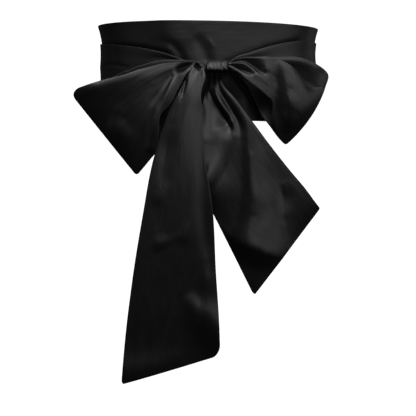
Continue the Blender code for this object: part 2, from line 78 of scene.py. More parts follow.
# The knot: a sleeve of cloth round the middle of the bow, along X
KNOT_LEFT = -1.0
KNOT_RIGHT = 24.5
KNOT_CENTRE = (-105.5, 3.5)  # y, z of the place from which its section swells and shrinks
KNOT_RADIUS = 12.0           # of the section, on average
KNOT_SWELL = 1.2             # the middle is fatter than the ends by this much
KNOT_SLANT = 0.09            # the pleats sway by this share of the knot's width on their way round
KNOT_END = 3.5               # the ends are drawn in over this width
KNOT_TAPER = 0.05            # by this share of the section
KNOT_ROWS = 150              # points round the knot
KNOT_OVERLAP = 2             # corners taken again at the section's start and end, to close its curve

# The folded ends of the loops are round noses, not sharp creases
NOSE = 19.0       # pushes the two sides apart, by 0.17 of this where it pushes most
NOSE_REACH = 0.4  # width over which that push dies down, as a share of the way to the knot
NOSE_CALM = 0.2   # share of the loop's length, next to its fold, over which gathers and folds fade

STEPS_ON_FOLD = 40  # points that stand for a fold's path
TINY = 1e-9         # keeps a distance that is divided by above 0

# A section across a piece of cloth: three points, the first and last on its edges. "at" runs from 0
# at the knot to 1 at the loop's fold or the tail's cut end.
Section = namedtuple("Section", "at first middle last")

# A section of the outer turn: its angle from the front, to the right, its edges' heights, and how
# far it stands out from the even turn.
Turn = namedtuple("Turn", "angle top bottom lift")

# A soft fold: the (x, z) points that it runs through, and its lift towards the front (below 0 for
# a valley) and half width at each of them. "lean" above 0 makes the side to the left of the path
# wider and the other side steeper.
Fold = namedtuple("Fold", "path lift width lean", defaults=(0.0,))

# Gathers that spread from the knot: how many ripples lie across the cloth, their height as a share
# of the room that its thickness leaves between them, how far along the cloth they have faded to a
# third, and the first ripple's phase in turns.
Gathers = namedtuple("Gathers", "count height reach phase")

# A pleat round the knot: its place and half width as shares of the knot's width, and its depth.
Pleat = namedtuple("Pleat", "place depth width")

# A bow's loop and a hanging tail. "corners" are the radii of the far end's corners, at the first
# edge and the last.
Loop = namedtuple("Loop", "front back folds folds_behind corners")
Tail = namedtuple("Tail", "sections folds gathers corners")

LOOP_LEFT_FRONT = (
    Section(0.00, (2, -114.5, 7.5), (2, -115, 4.5), (2, -114.5, 1.5)),
    Section(0.12, (-23, -122, 9.0), (-24, -124.5, 4), (-20, -122, -1)),
    Section(0.28, (-59, -133, 5.5), (-51, -132.5, -8), (-35, -130.5, -23)),
    Section(0.39, (-78, -136, 0.5), (-67, -135, -19.5), (-45.5, -134, -44)),
    Section(0.45, (-87, -137, -2.0), (-74, -135, -25), (-56.5, -135, -55)),
    Section(0.60, (-107, -137, -9.0), (-91, -133, -40), (-61, -135.5, -80)),
    Section(0.75, (-130, -134, -14.0), (-107, -128.5, -54), (-65, -132, -102)),
    Section(0.88, (-150, -129, -19.8), (-120, -122.5, -68), (-76, -126.5, -118)),
    Section(1.00, (-174.5, -119, -28.0), (-131.5, -115, -82), (-89.5, -117.5, -134)),
)
LOOP_LEFT_BACK = (
    Section(0.00, (2, -110, 7.5), (2, -110, 4.5), (2, -110, 2)),
    Section(0.12, (-23, -111.5, 11.5), (-23, -111, 4), (-22, -111, -2)),
    Section(0.28, (-58, -110, 11.5), (-53, -108, -8), (-40, -110, -26)),
    Section(0.45, (-84, -107, 6.0), (-74, -105, -24), (-49, -109, -52)),
    Section(0.60, (-105, -104, -1.5), (-89, -103, -39), (-54, -109, -76)),
    Section(0.75, (-129, -103, -12.5), (-103, -103, -54), (-61, -111, -98)),
    Section(0.88, (-150, -110, -19.8), (-118, -107.5, -68), (-74, -114, -115)),
    Section(1.00, (-174.5, -119, -28.0), (-131.5, -115, -82), (-89.5, -117.5, -134)),
)
LOOP_RIGHT_FRONT = (
    Section(0.00, (21.5, -114.5, 6.4), (21.5, -115, 4), (21.5, -114.5, 1.5)),
    Section(0.12, (38, -122, 13.5), (39, -124.5, 4.5), (36, -122.5, -4)),
    Section(0.28, (62, -128.5, 14.5), (59, -132, -2), (49, -132.5, -15)),
    Section(0.45, (82, -130.5, 13.5), (80, -135, -12), (71, -136, -33)),
    Section(0.60, (101, -129, 5.5), (95, -134, -22), (80, -132, -43)),
    Section(0.75, (113, -125, -5.0), (108, -130.5, -36), (80.5, -124, -64)),
    Section(0.88, (127.5, -117, -22.5), (120, -125.5, -51), (88.5, -118, -83)),
    Section(1.00, (148.5, -107, -21.0), (128.5, -115, -61), (97.5, -115, -95.5)),
)
LOOP_RIGHT_BACK = (
    Section(0.00, (21.5, -110.5, 6.4), (21.5, -110.5, 4), (21.5, -110.5, 2)),
    Section(0.12, (38, -111.5, 12.5), (38, -111, 3), (36, -111.5, -7)),
    Section(0.28, (62, -110, 14.5), (56, -108, -6), (49, -112, -20)),
    Section(0.45, (90, -106, 16.5), (80, -105, -11), (57.5, -112.5, -36)),
    Section(0.60, (115, -101, 16.5), (99, -102, -20), (66.5, -110, -56)),
    Section(0.75, (137.5, -98, 8.5), (117, -99, -32), (79, -112, -73)),
    Section(0.88, (152.5, -99, -5.0), (129, -103, -45), (88.5, -112, -86)),
    Section(1.00, (148.5, -107, -21.0), (128.5, -115, -61), (97.5, -115, -95.5)),
)
TAIL_LEFT = (
    Section(0.00, (1, -117.5, 5), (1, -118, 2.8), (1, -117.5, 0.6)),
    Section(0.05, (-14, -125, 8.5), (-8, -126, 3), (-4.5, -125.5, -2)),
    Section(0.10, (-24, -129, -6), (-12.5, -132, -7), (-2.6, -130.5, -10)),
    Section(0.17, (-35, -137, -28), (-20, -140, -29), (-8.2, -139, -30)),
    Section(0.25, (-48.5, -137.5, -54), (-27, -143.5, -55), (-7.2, -143.2, -56)),
    Section(0.38, (-66.5, -138.5, -108), (-35, -148, -107), (-5, -148.5, -105)),
    Section(0.58, (-81.2, -140, -183), (-38, -149, -181), (6, -151, -178)),
    Section(0.78, (-95.2, -136, -270), (-42, -143, -263), (10, -145.5, -255)),
    Section(0.92, (-104.4, -129, -345), (-45, -136, -332), (14, -136, -318)),
    Section(1.00, (-108.7, -124, -396), (-46, -130, -377.5), (15.5, -131, -358.5)),
)
TAIL_RIGHT = (
    Section(0.00, (3, -115, -4.8), (10.5, -116, -4.8), (18, -115, -4.8)),
    Section(0.09, (-1, -110, -19), (9.5, -111, -18.5), (18, -111, -17)),
    Section(0.20, (-7, -119.5, -45), (14, -119, -42), (35, -121, -38)),
    Section(0.32, (-12, -124, -80), (20, -123, -72), (52, -124, -61)),
    Section(0.48, (-13, -121, -120), (32.5, -123, -109), (77.5, -121, -95)),
    Section(0.64, (-4, -120, -160), (49.5, -121.5, -145), (102, -119, -126)),
    Section(0.79, (14, -118, -197), (68, -121, -177), (122.3, -118, -150)),
    Section(0.90, (35, -114, -239), (84, -118, -206), (133.5, -117, -165)),
    Section(1.00, (58, -108, -285.5), (99.8, -113, -230.5), (141.5, -117, -175)),
)
TURN_OUTER = (
    Turn(9.6, 7.6, 2.4, 5.9),
    Turn(14.0, 16.5, -12.0, 3.9),
    Turn(21.0, 22.8, -34.0, 1.6),
    Turn(34.0, 33.0, -56.0, 0.5),
    Turn(56.0, 43.0, -57.0, 0.1),
    Turn(90.0, 44.0, -42.0, 0.0),
    Turn(180.0, 44.5, -41.0, 0.0),
    Turn(270.0, 39.5, -42.0, 0.0),
    Turn(303.0, 34.4, -57.0, 0.1),
    Turn(324.0, 28.0, -56.0, 0.5),
    Turn(339.0, 19.8, -36.0, 1.6),
    Turn(348.0, 11.8, -14.0, 3.4),
    Turn(360.8, 7.6, 2.0, 5.0),
)

# Under the knot both turns draw back towards the waist
FOLDS_BOTH_TURNS = (
    Fold(((-30, -45), (5, -45), (30, -46), (50, -48)), (-0.5, -4.0, -4.0, -0.5), (20, 24, 24, 20)),
    Fold(((-36, -74), (0, -76), (30, -76), (54, -74)), (-0.5, -5.0, -5.0, -0.5), (26, 32, 32, 26)),
)
# The turns' creases run to the knot from both sides and from above. The last fold of the inner
# turn is the broad ridge left of the knot.
FOLDS_TURN_INNER = (
    Fold(
        ((-134, 37.5), (-102, 32), (-71.5, 26), (-53, 21.5), (-35, 13)),
        (-1.2, -2.4, -2.2, -1.5, -1.1),
        (4, 5, 4.6, 3.8, 3.4),
    ),
    Fold(((24, 10), (50, 20), (79, 29.5), (116, 40.5)), (-0.5, -1.2, -2.1, -1.6), (4, 5, 5.5, 4.5)),
    Fold(
        ((-72, 39), (-61, 38), (-46, 33), (-38.5, 24), (-31.5, 13)),
        (-0.2, -0.6, -1.6, -2.4, -2.2),
        (4, 5, 6, 6, 5),
    ),
    Fold(((-19, 46), (-12, 37), (-6, 27), (-1, 14)), (-0.2, -1.1, -1.9, -2.4), (6, 7, 8, 8)),
    Fold(((-1, 42), (4, 34), (7, 26)), (0.1, 0.5, 0.2), (2.5, 2.5, 2.5)),
    Fold(((-54, 66), (-53, 50), (-49, 34), (-41, 12)), (3.4, 3.6, 3.0, 1.0), (22, 21, 18, 9), 0.3),
)
FOLDS_TURN_OUTER = (
    Fold(((-131, 12), (-118, 10), (-104, 6)), (-1.4, -1.2, -0.6), (3, 2.6, 2.2)),
    Fold(((-121, 36), (-120, 18)), (-0.5, -0.5), (4, 4)),
    Fold(((-82, 35), (-60, 28), (-46, 22), (-30, 15)), (-0.3, -0.7, -0.8, -0.9), (2.5, 2.5, 2.5, 2.5)),
    Fold(((-66, 17), (-50, 15), (-36, 12)), (-0.4, -1.0, -1.2), (3, 3, 2.6)),
    Fold(((24, 15), (50, 25), (79, 34.5), (116, 45)), (-0.7, -0.9, -1.0, -0.7), (2.5, 3, 3, 3)),
)
# At the sides and the back a fold's path is (millimetres round the waist from the front, height)
FOLDS_TURN_BACK = (
    Fold(((150, 20), (220, 12), (300, 16)), (0.6, 1.0, 1.4), (6, 7, 8)),
    Fold(((200, -16), (300, -24), (400, -18)), (1.2, 1.0, 0.8), (7, 7.5, 8)),
    Fold(((330, 26), (420, 30), (520, 22)), (0.8, 1.0, 1.2), (8, 7, 6)),
    Fold(((440, -2), (520, 4), (610, 12)), (1.4, 1.0, 0.6), (8, 7, 6)),
)
# The loops have troughs behind their rims and between their gathers, and strips that stand out.
# The left loop's long strip runs down beside the long tail.
FOLDS_LOOP_LEFT = (
    Fold(
        ((-166, -21), (-139, -11.5), (-115, -3), (-92, 5.5), (-68, 12), (-48, 14), (-30, 13.5)),
        (-7.6, -8.4, -9.6, -10.0, -8.0, -4.4, -2.0),
        (7.0, 7.6, 8.4, 8.8, 8.2, 6.8, 4.5),
    ),
    Fold(
        ((-33, -5), (-44, -20), (-54, -36), (-62.5, -52), (-67.5, -70), (-72, -98)),
        (1.5, 5.5, 7.0, 6.4, 5.2, 3.0),
        (4, 7, 8, 8, 8, 7),
        0.3,
    ),
    Fold(((-41, 0), (-50, -18), (-59, -40), (-66, -56)), (-0.8, -2.4, -2.4, -0.6), (4, 6, 6.5, 6), -0.5),
    Fold(((-17, 6.5), (-25, 4.5), (-34, -0.5)), (-2.0, -7.0, -9.5), (2.8, 4.2, 5.0)),
    Fold(
        ((-34, 7), (-41, 2.5), (-42.5, -4), (-39.5, -9), (-33, -9)),
        (0.3, 1.0, 1.4, 1.2, 0.3),
        (3, 3, 3, 3, 3),
    ),
    Fold(
        ((-114, -56), (-121, -80), (-126, -106), (-128, -132), (-128, -158)),
        (1.0, 8.0, 13.0, 16.0, 16.0),
        (9, 14, 16, 17, 17),
        0.35,
    ),
)
FOLDS_LOOP_RIGHT = (
    Fold(
        ((30, 8), (45, 8.6), (56, 3.0), (64, -3.5), (69, -7)),
        (-1.5, -3.8, -5.6, -5.4, -2.4),
        (2.0, 3.2, 4.6, 4.8, 3.6),
        0.5,
    ),
    Fold(((32, 15), (50, 17), (66, 17.5), (80, 16)), (-1.0, -2.4, -2.4, -1.5), (2.6, 3, 3, 3)),
    Fold(((29, 4), (42, -1.5), (53, -6), (58, -6)), (-1.5, -3.4, -3.6, -1.0), (2.0, 3.4, 4.0, 3.0), 0.4),
    Fold(
        ((82, 19.5), (95, 13), (107, 8), (115, 1), (124, -7.5), (132, -19), (140, -25)),
        (-2.5, -3.6, -4.2, -4.4, -4.4, -4.0, -2.0),
        (4, 4.8, 5.2, 5.4, 5.4, 5, 4.4),
    ),
    Fold(((84.5, 8), (85, -18), (86, -46), (92, -80)), (-3.0, -6.4, -5.0, -2.0), (8, 9, 9, 9)),
    Fold(((100, -24), (103, -46), (103, -74)), (0.3, 4.2, 2.4), (8, 10, 11), 0.3),
    Fold(((92, -76), (104, -70), (115, -58)), (0.5, 3.5, 1.0), (12, 14, 12)),
)
FOLDS_LOOP_LEFT_BACK = (
    Fold(((-100, 3), (-80, 11), (-58, 15), (-36, 15)), (-1.0, -1.5, -1.5, -1.0), (4, 4, 4, 4)),
)
FOLDS_LOOP_RIGHT_BACK = (
    Fold(((70, 17), (94, 19), (118, 19.5), (137, 11)), (-1.5, -3.4, -3.4, -1.5), (4, 5, 5.5, 5)),
    Fold(((88, 14), (104, 14.5), (121, 12), (135, 4)), (1.0, 2.8, 2.2, 0.3), (6.5, 7, 7, 6.5), -0.3),
    Fold(((106, -2), (121, -12), (133, -22), (144, -30)), (-0.4, -1.2, -1.8, -1.0), (6, 8, 8, 7)),
)
# The long tail's valleys run down it from the knot, soft ridges lie below them, and the last fold
# lifts its cut end
FOLDS_TAIL_LEFT = (
    Fold(((-15, 4), (-11, 0)), (-7.5, -6.0), (2.8, 2.8)),
    Fold(((-7.5, 6), (-6.6, -4), (-6.4, -16)), (-0.6, -1.4, -0.3), (1.3, 1.5, 1.3)),
    Fold(
        ((-26.5, -8), (-28.5, -18), (-31, -28), (-33.5, -40)),
        (-1.0, -4.6, -4.0, -0.4),
        (2.2, 2.7, 2.7, 2.4),
    ),
    Fold(
        ((-8, -28), (-9.5, -60), (-9, -100), (-7.5, -140), (-6, -180), (-3, -215), (-1, -250)),
        (-0.5, -2.6, -3.2, -3.2, -3.6, -3.0, -0.4),
        (4, 5.5, 7, 8, 8.5, 9, 9),
    ),
    Fold(((-45, -72), (-50, -100), (-55, -124), (-59, -150)), (-0.5, -3.4, -2.2, -0.2), (7, 9, 9, 9)),
    Fold(((-66, -206), (-61, -219), (-56, -230)), (0.2, 1.6, 0.2), (8, 12, 9), 0.3),
    Fold(((-46, -136), (-62, -160)), (0.2, 1.6), (7, 10)),
    Fold(((-18, -186), (-30, -210)), (0.2, 1.4), (7, 9)),
    Fold(
        ((-32, -282), (-23, -291), (-10, -305), (4, -320), (18, -334)),
        (0.2, 2.6, 6.6, 9.0, 9.0),
        (8, 12, 17, 21, 23),
    ),
    Fold(((-2, -240), (0, -268), (3, -300), (7, -332)), (0.5, 3.2, 3.4, 0.6), (9, 10, 11, 12), 0.2),
    Fold(((-66, -150), (-78, -230), (-86, -310)), (0.4, 1.4, 0.8), (12, 14, 16)),
    Fold(((-100, -380), (-74, -374), (-40, -364)), (3.8, 3.4, 1.6), (18, 17, 14)),
)
# The short tail opens from a drop-shaped valley under the knot into a rounded ridge, and its cut end
# curls to the back
FOLDS_TAIL_RIGHT = (
    Fold(
        ((1.5, -16), (5.5, -29), (10, -43), (16, -55.5), (21.5, -64.5), (25.5, -71)),
        (-1.0, -3.8, -7.0, -10.0, -11.0, -6.5),
        (2.6, 5.0, 7.6, 9.4, 10.0, 8.6),
        -0.28,
    ),
    Fold(
        ((-7, -16), (-5, -30), (-2.5, -46), (-1.5, -66), (-2, -92)),
        (-3.0, -7.0, -8.0, -5.5, -0.5),
        (6, 8, 8, 8, 9),
    ),
    Fold(
        ((2, -15.5), (5, -28), (14.5, -43.5), (24, -56.5), (31.5, -70), (32, -82)),
        (0.8, 2.0, 2.6, 2.8, 2.4, 0.4),
        (2.2, 2.6, 3.0, 3.4, 3.6, 4.0),
        0.3,
    ),
    Fold(((18, -13), (37, -35), (54, -60), (79, -94)), (-1.2, -1.6, -1.6, -0.4), (3, 3, 3, 3)),
    Fold(
        ((8, -20), (20, -37), (32, -56), (39.5, -72), (42, -88)),
        (-0.8, -4.0, -4.6, -3.6, -0.5),
        (3, 4, 5, 6, 6),
    ),
    Fold(
        ((36, -50), (48, -72), (53, -104), (55, -136), (56, -166), (54, -194), (49, -220), (45, -250)),
        (0.5, 2.6, 5.0, 6.4, 8.0, 8.5, 7.0, 2.0),
        (8, 11, 12, 14, 17, 20, 22, 22),
        0.3,
    ),
    Fold(((53, -110), (55, -145), (58, -178)), (0.4, 1.4, 0.4), (5, 5, 5)),
    Fold(((-14, -141), (-3, -146), (8, -152)), (10.5, 13.0, 5.0), (34, 35, 26)),
    Fold(((92, -142), (95, -162), (96, -186)), (-0.5, -3.0, -1.0), (7, 9, 9), 0.4),
    Fold(
        ((20, -200), (40, -217), (60, -229), (80, -235), (100, -235), (118, -231)),
        (1.0, 6.0, 10.0, 8.6, 3.4, 0.4),
        (13, 20, 24, 22, 18, 14),
        0.5,
    ),
    Fold(((40, -214), (64, -229), (82, -234), (98, -234)), (0.5, 3.0, 2.2, 0.4), (7, 8, 8, 7), 0.4),
    Fold(((108, -240), (132, -208), (154, -176)), (-6.0, -11.0, -9.0), (15, 20, 20)),
)

# The knot's section: (y, z), round from the top at the back
KNOT_SECTION = (
    (-106, 9.2), (-111.2, 11.4), (-116.5, 10.0), (-121, 6.2), (-124.2, 1.0), (-123.6, -2.0),
    (-118.5, -3.0), (-110.5, -2.2), (-105.4, 1.8),
)
KNOT_PLEATS = (
    Pleat(0.11, 0.8, 0.040),
    Pleat(0.27, 0.5, 0.045),
    Pleat(0.44, 0.7, 0.040),
    Pleat(0.60, 0.5, 0.050),
    Pleat(0.80, 1.9, 0.038),
)

GATHERS_TURN_OUTER = Gathers(4.5, 0.09, 0.06, 0.1)
GATHERS_LOOP = Gathers(3.0, 0.12, 0.15, 0.3)
GATHERS_TAIL_LEFT = Gathers(2.5, 0.10, 0.10, 0.0)
GATHERS_TAIL_RIGHT = Gathers(2.5, 0.20, 0.12, 0.0)

LOOPS = {
    "loop_left": Loop(
        LOOP_LEFT_FRONT, LOOP_LEFT_BACK, FOLDS_LOOP_LEFT, FOLDS_LOOP_LEFT_BACK, corners=(12.0, 4.0)
    ),
    "loop_right": Loop(
        LOOP_RIGHT_FRONT, LOOP_RIGHT_BACK, FOLDS_LOOP_RIGHT, FOLDS_LOOP_RIGHT_BACK, corners=(6.0, 3.0)
    ),
}
TAILS = {
    "tail_left": Tail(TAIL_LEFT, FOLDS_TAIL_LEFT, GATHERS_TAIL_LEFT, corners=(4.0, 11.0)),
    "tail_right": Tail(TAIL_RIGHT, FOLDS_TAIL_RIGHT, GATHERS_TAIL_RIGHT, corners=(4.0, 3.0)),
}
RINGS = ("turn_inner", "knot")  # the pieces that close on themselves

# Detail of the satin: its size across and along the strip, the depth of its relief, and how many
# finer octaves its noise has
Grain = namedtuple("Grain", "across along depth octaves")
FLOATS = Grain(0.16, 1.4, 0.003, 0.0)      # the long threads that satin weave leaves on its face
SLUBS = Grain(0.8, 34.0, 0.022, 2.0)       # thicker threads here and there
SOFT_WAVES = Grain(10.0, 26.0, 0.30, 1.0)  # handled cloth is never quite even
PUCKERS = Grain(7.0, 3.2, 0.12, 1.0)       # the turned edge draws in along its seam
PUCKER_REACH = 7.0                         # and lies flat again this far from it
WORN_EDGE = 1.4                            # width of the slightly worn edge
CUT_PLACES = "cut"                         # the mesh attribute that holds places in the flat strip
DEEPEST_BLACK = (0.0024, 0.0024, 0.0026, 1)
WORN_BLACK = (0.0040, 0.0039, 0.0041, 1)   # at the edge, and half of the way to it on the slubs
SLUB_RANGE = (0.3, 0.7)                    # the part of the slubs' noise that lightens the black
SLUB_LIGHTENING = (0.0, 0.5)
WAVE_RANGE = (0.25, 0.75)                  # the part of the waves' noise that varies the roughness
ROUGHNESS = (0.385, 0.455)
EDGE_ROUGHNESS = 0.05                      # more of it at the worn edge

# The cloth of each stretch that shows: its flat width and length in metres, how it is held, and its
# flat area where gathers hide a part of the strip
Cut = namedtuple("Cut", "node width length held area")

# Soft lights: place and size in metres, power in watts. All of them aim at the middle of the sash.
Softbox = namedtuple("Softbox", "name place width height power")
SOFTBOXES = (
    Softbox("key_front", (0.45, -1.84, 0.92), 2.4, 1.1, 13.5),
    Softbox("key_top", (0.35, -0.7, 1.95), 2.8, 2.2, 26),
    Softbox("top_left", (-0.75, -0.75, 1.75), 1.2, 1.2, 15),
    Softbox("fill_right", (1.85, -0.95, 0.3), 1.9, 1.6, 7.4),
    Softbox("fill_left", (-2.0, -0.9, 0.35), 1.4, 1.8, 1.2),
    Softbox("rim_right", (1.9, 1.4, 0.3), 1.0, 1.6, 1.2),
)
AIM = (0.0, -0.1, -0.12)
WORLD_LIGHT = 0.03

# The room, a round one, in metres
FLOOR = -1.05
STUDIO_RADIUS = 4.5
STUDIO_HEIGHT = 5.0   # of its ceiling over the sash's origin
STUDIO_COVE = 1.2     # radius of the round corners at its floor and ceiling
COVE_STEPS = 12
STUDIO_SIDES = 64
PALE_GREY = (0.8, 0.8, 0.8, 1)
WHITE = (1, 1, 1, 1)


def curve_through(knots, values, at, level_ends=False):
    """The values at the places "at" of a smooth curve that passes through values at its knots."""
    knots = np.asarray(knots, float)
    values = np.asarray(values, float)
    slopes = np.gradient(values, knots, axis=0)
    if level_ends:
        slopes[[0, -1]] = 0
    left = np.clip(np.searchsorted(knots, at) - 1, 0, len(knots) - 2)
    span = knots[left + 1] - knots[left]
    s = (at - knots[left]) / span
    if values.ndim > 1:
        span, s = span[..., None], s[..., None]
    rise = s * s * (3 - 2 * s)
    leave = s * (1 - s) ** 2 * span
    arrive = s * s * (s - 1) * span
    start = values[left] * (1 - rise) + slopes[left] * leave
    return start + values[left + 1] * rise + slopes[left + 1] * arrive


def across(sections, at, v):
    """Points of a patch of cloth, "at" along it and v from its first edge, 0, to its last, 1.

    Each section is a parabola through its three points.
    """
    knots = [section.at for section in sections]
    first = curve_through(knots, [section.first for section in sections], at)
    middle = curve_through(knots, [section.middle for section in sections], at)
    last = curve_through(knots, [section.last for section in sections], at)
    v = v[..., None]
    return first * (1 - v) * (1 - 2 * v) + middle * 4 * v * (1 - v) + last * v * (2 * v - 1)


def fold_height(fold, x, z):
    """How far one fold lifts the points (x, z): a soft bell across its path."""
    knots = range(len(fold.path))
    steps = np.linspace(0, len(fold.path) - 1, STEPS_ON_FOLD)
    path = curve_through(knots, fold.path, steps)
    nearest = np.full(x.shape, np.inf)
    where = np.zeros(x.shape)
    side = np.zeros(x.shape)
    for number, (a, b) in enumerate(zip(path[:-1], path[1:])):
        step = b - a
        t = ((x - a[0]) * step[0] + (z - a[1]) * step[1]) / (step @ step)
        t = np.clip(t, 0, 1)
        off_x, off_z = x - a[0] - t * step[0], z - a[1] - t * step[1]
        distance = np.hypot(off_x, off_z) + TINY
        leftwards = (step[0] * off_z - step[1] * off_x) / np.hypot(*step) / distance
        closer = distance < nearest
        nearest = np.where(closer, distance, nearest)
        where = np.where(closer, steps[number] + t * (steps[1] - steps[0]), where)
        side = np.where(closer, leftwards, side)
    lift = curve_through(knots, fold.lift, where, level_ends=True)
    width = curve_through(knots, fold.width, where, level_ends=True) * (1 + fold.lean * side)
    return lift * np.exp(-((nearest / width) ** 2))


def relief(folds, x, z):
    """How far all the folds together lift the points (x, z)."""
    return sum(fold_height(fold, x, z) for fold in folds)


def gather_height(gathers, at, v, width):
    """Ripples across the cloth, as high as its width there lets them be, that fade along it."""
    room = np.clip(width / gathers.count - 2 * CLOTH, 0, None)
    height = gathers.height * room * np.exp(-at / gathers.reach)
    return height * np.sin(2 * np.pi * (gathers.count * v + gathers.phase))


def round_corners(radii, distance, width, v):
    """v drawn in from both edges, so that the corners at distance 0 are quarter circles."""
    inset = [r - np.sqrt(r * r - np.clip(r - distance, 0, r) ** 2) for r in radii]
    return inset[0] / width + v * (1 - (inset[0] + inset[1]) / width)


def width_at(sections, at):
    """The straight width of the cloth at each place along it."""
    edges = across(sections, at, np.zeros_like(at)), across(sections, at, np.ones_like(at))
    return np.linalg.norm(edges[0] - edges[1], axis=-1)


def length_of(sections):
    """The length of the cloth along the middles of its sections."""
    middle = np.array([section.middle for section in sections], float)
    return np.linalg.norm(np.diff(middle, axis=0), axis=1).sum()


def width_of(section):
    """The straight distance between a section's edges."""
    return np.linalg.norm(np.subtract(section.first, section.last))


def columns_over(width):
    """Places from 0 to 1 across cloth of this width, closer together at its rounded edges."""
    edge = np.array(EDGE_COLUMNS) / width
    middle = np.linspace(edge[-1], 1 - edge[-1], int(width / STEP) + 1)[1:-1]
    return np.concatenate([edge, middle, 1 - edge[::-1]])


def tail_points(tail):
    """A hanging tail: a grid of points, with rows closer together at its cut end."""
    length = length_of(tail.sections)
    width = width_of(tail.sections[-1])
    corner = max(tail.corners) / length
    body = np.linspace(0, 1 - corner, int(length / STEP))
    quarter = np.linspace(0, np.pi / 2, ROWS_IN_CORNER + 1)[1:]
    rows = np.append(body, 1 - corner * (1 - np.sin(quarter)))
    at, v = np.meshgrid(rows, columns_over(width), indexing="ij")
    v = round_corners(tail.corners, (1 - at) * length, width, v)
    points = across(tail.sections, at, v)
    points[..., 1] -= relief(tail.folds, points[..., 0], points[..., 2])
    points[..., 1] -= gather_height(tail.gathers, at, v, width_at(tail.sections, at))
    return points


def loop_points(loop):
    """A bow's loop: out from the knot in front, round its fold, and back behind.

    "w" runs from -1 at the knot in front, over 0 at the fold, to 1 at the knot behind. The rows lie
    closer together near the fold.
    """
    length = length_of(loop.front)
    width = width_of(loop.front[-1])
    turn = np.linspace(-1, 1, 2 * int(length / STEP) + 1)
    w, v = np.meshgrid(turn, columns_over(width), indexing="ij")
    at = 1 - w * w * (2 - np.abs(w))
    v = round_corners(loop.corners, (1 - at) * length, width, v)
    points = np.where((w < 0)[..., None], across(loop.front, at, v), across(loop.back, at, v))
    points[..., 1] += NOSE * w * np.exp(-((w / NOSE_REACH) ** 2))
    ripples = gather_height(GATHERS_LOOP, at, v, width_at(loop.front, at))
    raised = ripples + relief(loop.folds, points[..., 0], points[..., 2])
    behind = relief(loop.folds_behind, points[..., 0], points[..., 2]) - ripples
    clear_of_fold = np.clip((1 - at) / NOSE_CALM, 0, 1)
    points[..., 1] -= np.where(w < 0, raised, behind) * clear_of_fold
    return points


def ring_points(angle, height, out):
    """Points of a turn round the waist, moved out of its even form by "out"."""
    sine, cosine = np.sin(angle), np.cos(angle)
    normal = np.stack([sine / WAIST_HALF_WIDTH, -cosine / WAIST_HALF_DEPTH], axis=-1)
    normal /= np.linalg.norm(normal, axis=-1, keepdims=True)
    flare = np.clip((height - FLARE_START) / (BAND_TOP - FLARE_START), 0, 1) * sine
    lean = np.clip((height - LEAN_START) / (BAND_TOP - LEAN_START), 0, 1) * np.clip(cosine, 0, 1)
    out = out + FLARE * flare * flare - LEAN * lean
    x = WAIST_HALF_WIDTH * sine + normal[..., 0] * out
    y = -WAIST_HALF_DEPTH * cosine + normal[..., 1] * out
    return np.stack([x, y, height - ROLL * x], axis=-1)


def front_relief(folds, points, angle):
    """The folds' height on a turn, on its front half only."""
    return np.where(np.cos(angle) > 0, relief(folds, points[..., 0], points[..., 2]), 0)


def band_bottom(angle):
    """Height of the band's bottom edge: level in front, risen at the sides and the back."""
    from_front = np.degrees(np.arccos(np.cos(angle)))
    share = np.clip((from_front - RISE_START) / (RISE_END - RISE_START), 0, 1)
    return BAND_BOTTOM + BAND_RISE * share * share * (3 - 2 * share)


def turn_inner_points():
    """The inner turn, a closed ring."""
    around = np.linspace(0, 2 * np.pi, int(360 * MM_PER_DEGREE / STEP) + 1)[:-1]
    angle, v = np.meshgrid(around, columns_over(BAND_TOP - BAND_BOTTOM), indexing="ij")
    bottom = band_bottom(angle)
    height = bottom + (BAND_TOP - bottom) * v
    even = ring_points(angle, height, np.zeros_like(angle))
    return ring_points(angle, height, front_relief(FOLDS_BOTH_TURNS + FOLDS_TURN_INNER, even, angle))


def turn_outer_points():
    """The outer turn, from the knot's right side round the back to its left side."""
    knots = [turn.angle for turn in TURN_OUTER]
    degrees = np.linspace(knots[0], knots[-1], int(360 * MM_PER_DEGREE / STEP))
    widest = max(turn.top - turn.bottom for turn in TURN_OUTER)
    angle, v = np.meshgrid(np.radians(degrees), columns_over(widest), indexing="ij")
    rows = [(turn.top, turn.bottom, turn.lift) for turn in TURN_OUTER]
    top, bottom, lift = np.moveaxis(curve_through(knots, rows, np.degrees(angle)), -1, 0)
    height = top + (bottom - top) * v
    to_end = np.minimum(np.degrees(angle) - knots[0], knots[-1] - np.degrees(angle)) / 360
    out = TURN_STEP + lift + gather_height(GATHERS_TURN_OUTER, to_end, v, top - bottom)
    even = ring_points(angle, height, out)
    out = out + front_relief(FOLDS_BOTH_TURNS + FOLDS_TURN_OUTER, even, angle)
    out = out + relief(FOLDS_TURN_BACK, np.degrees(angle) * MM_PER_DEGREE, height)
    return ring_points(angle, height, out)


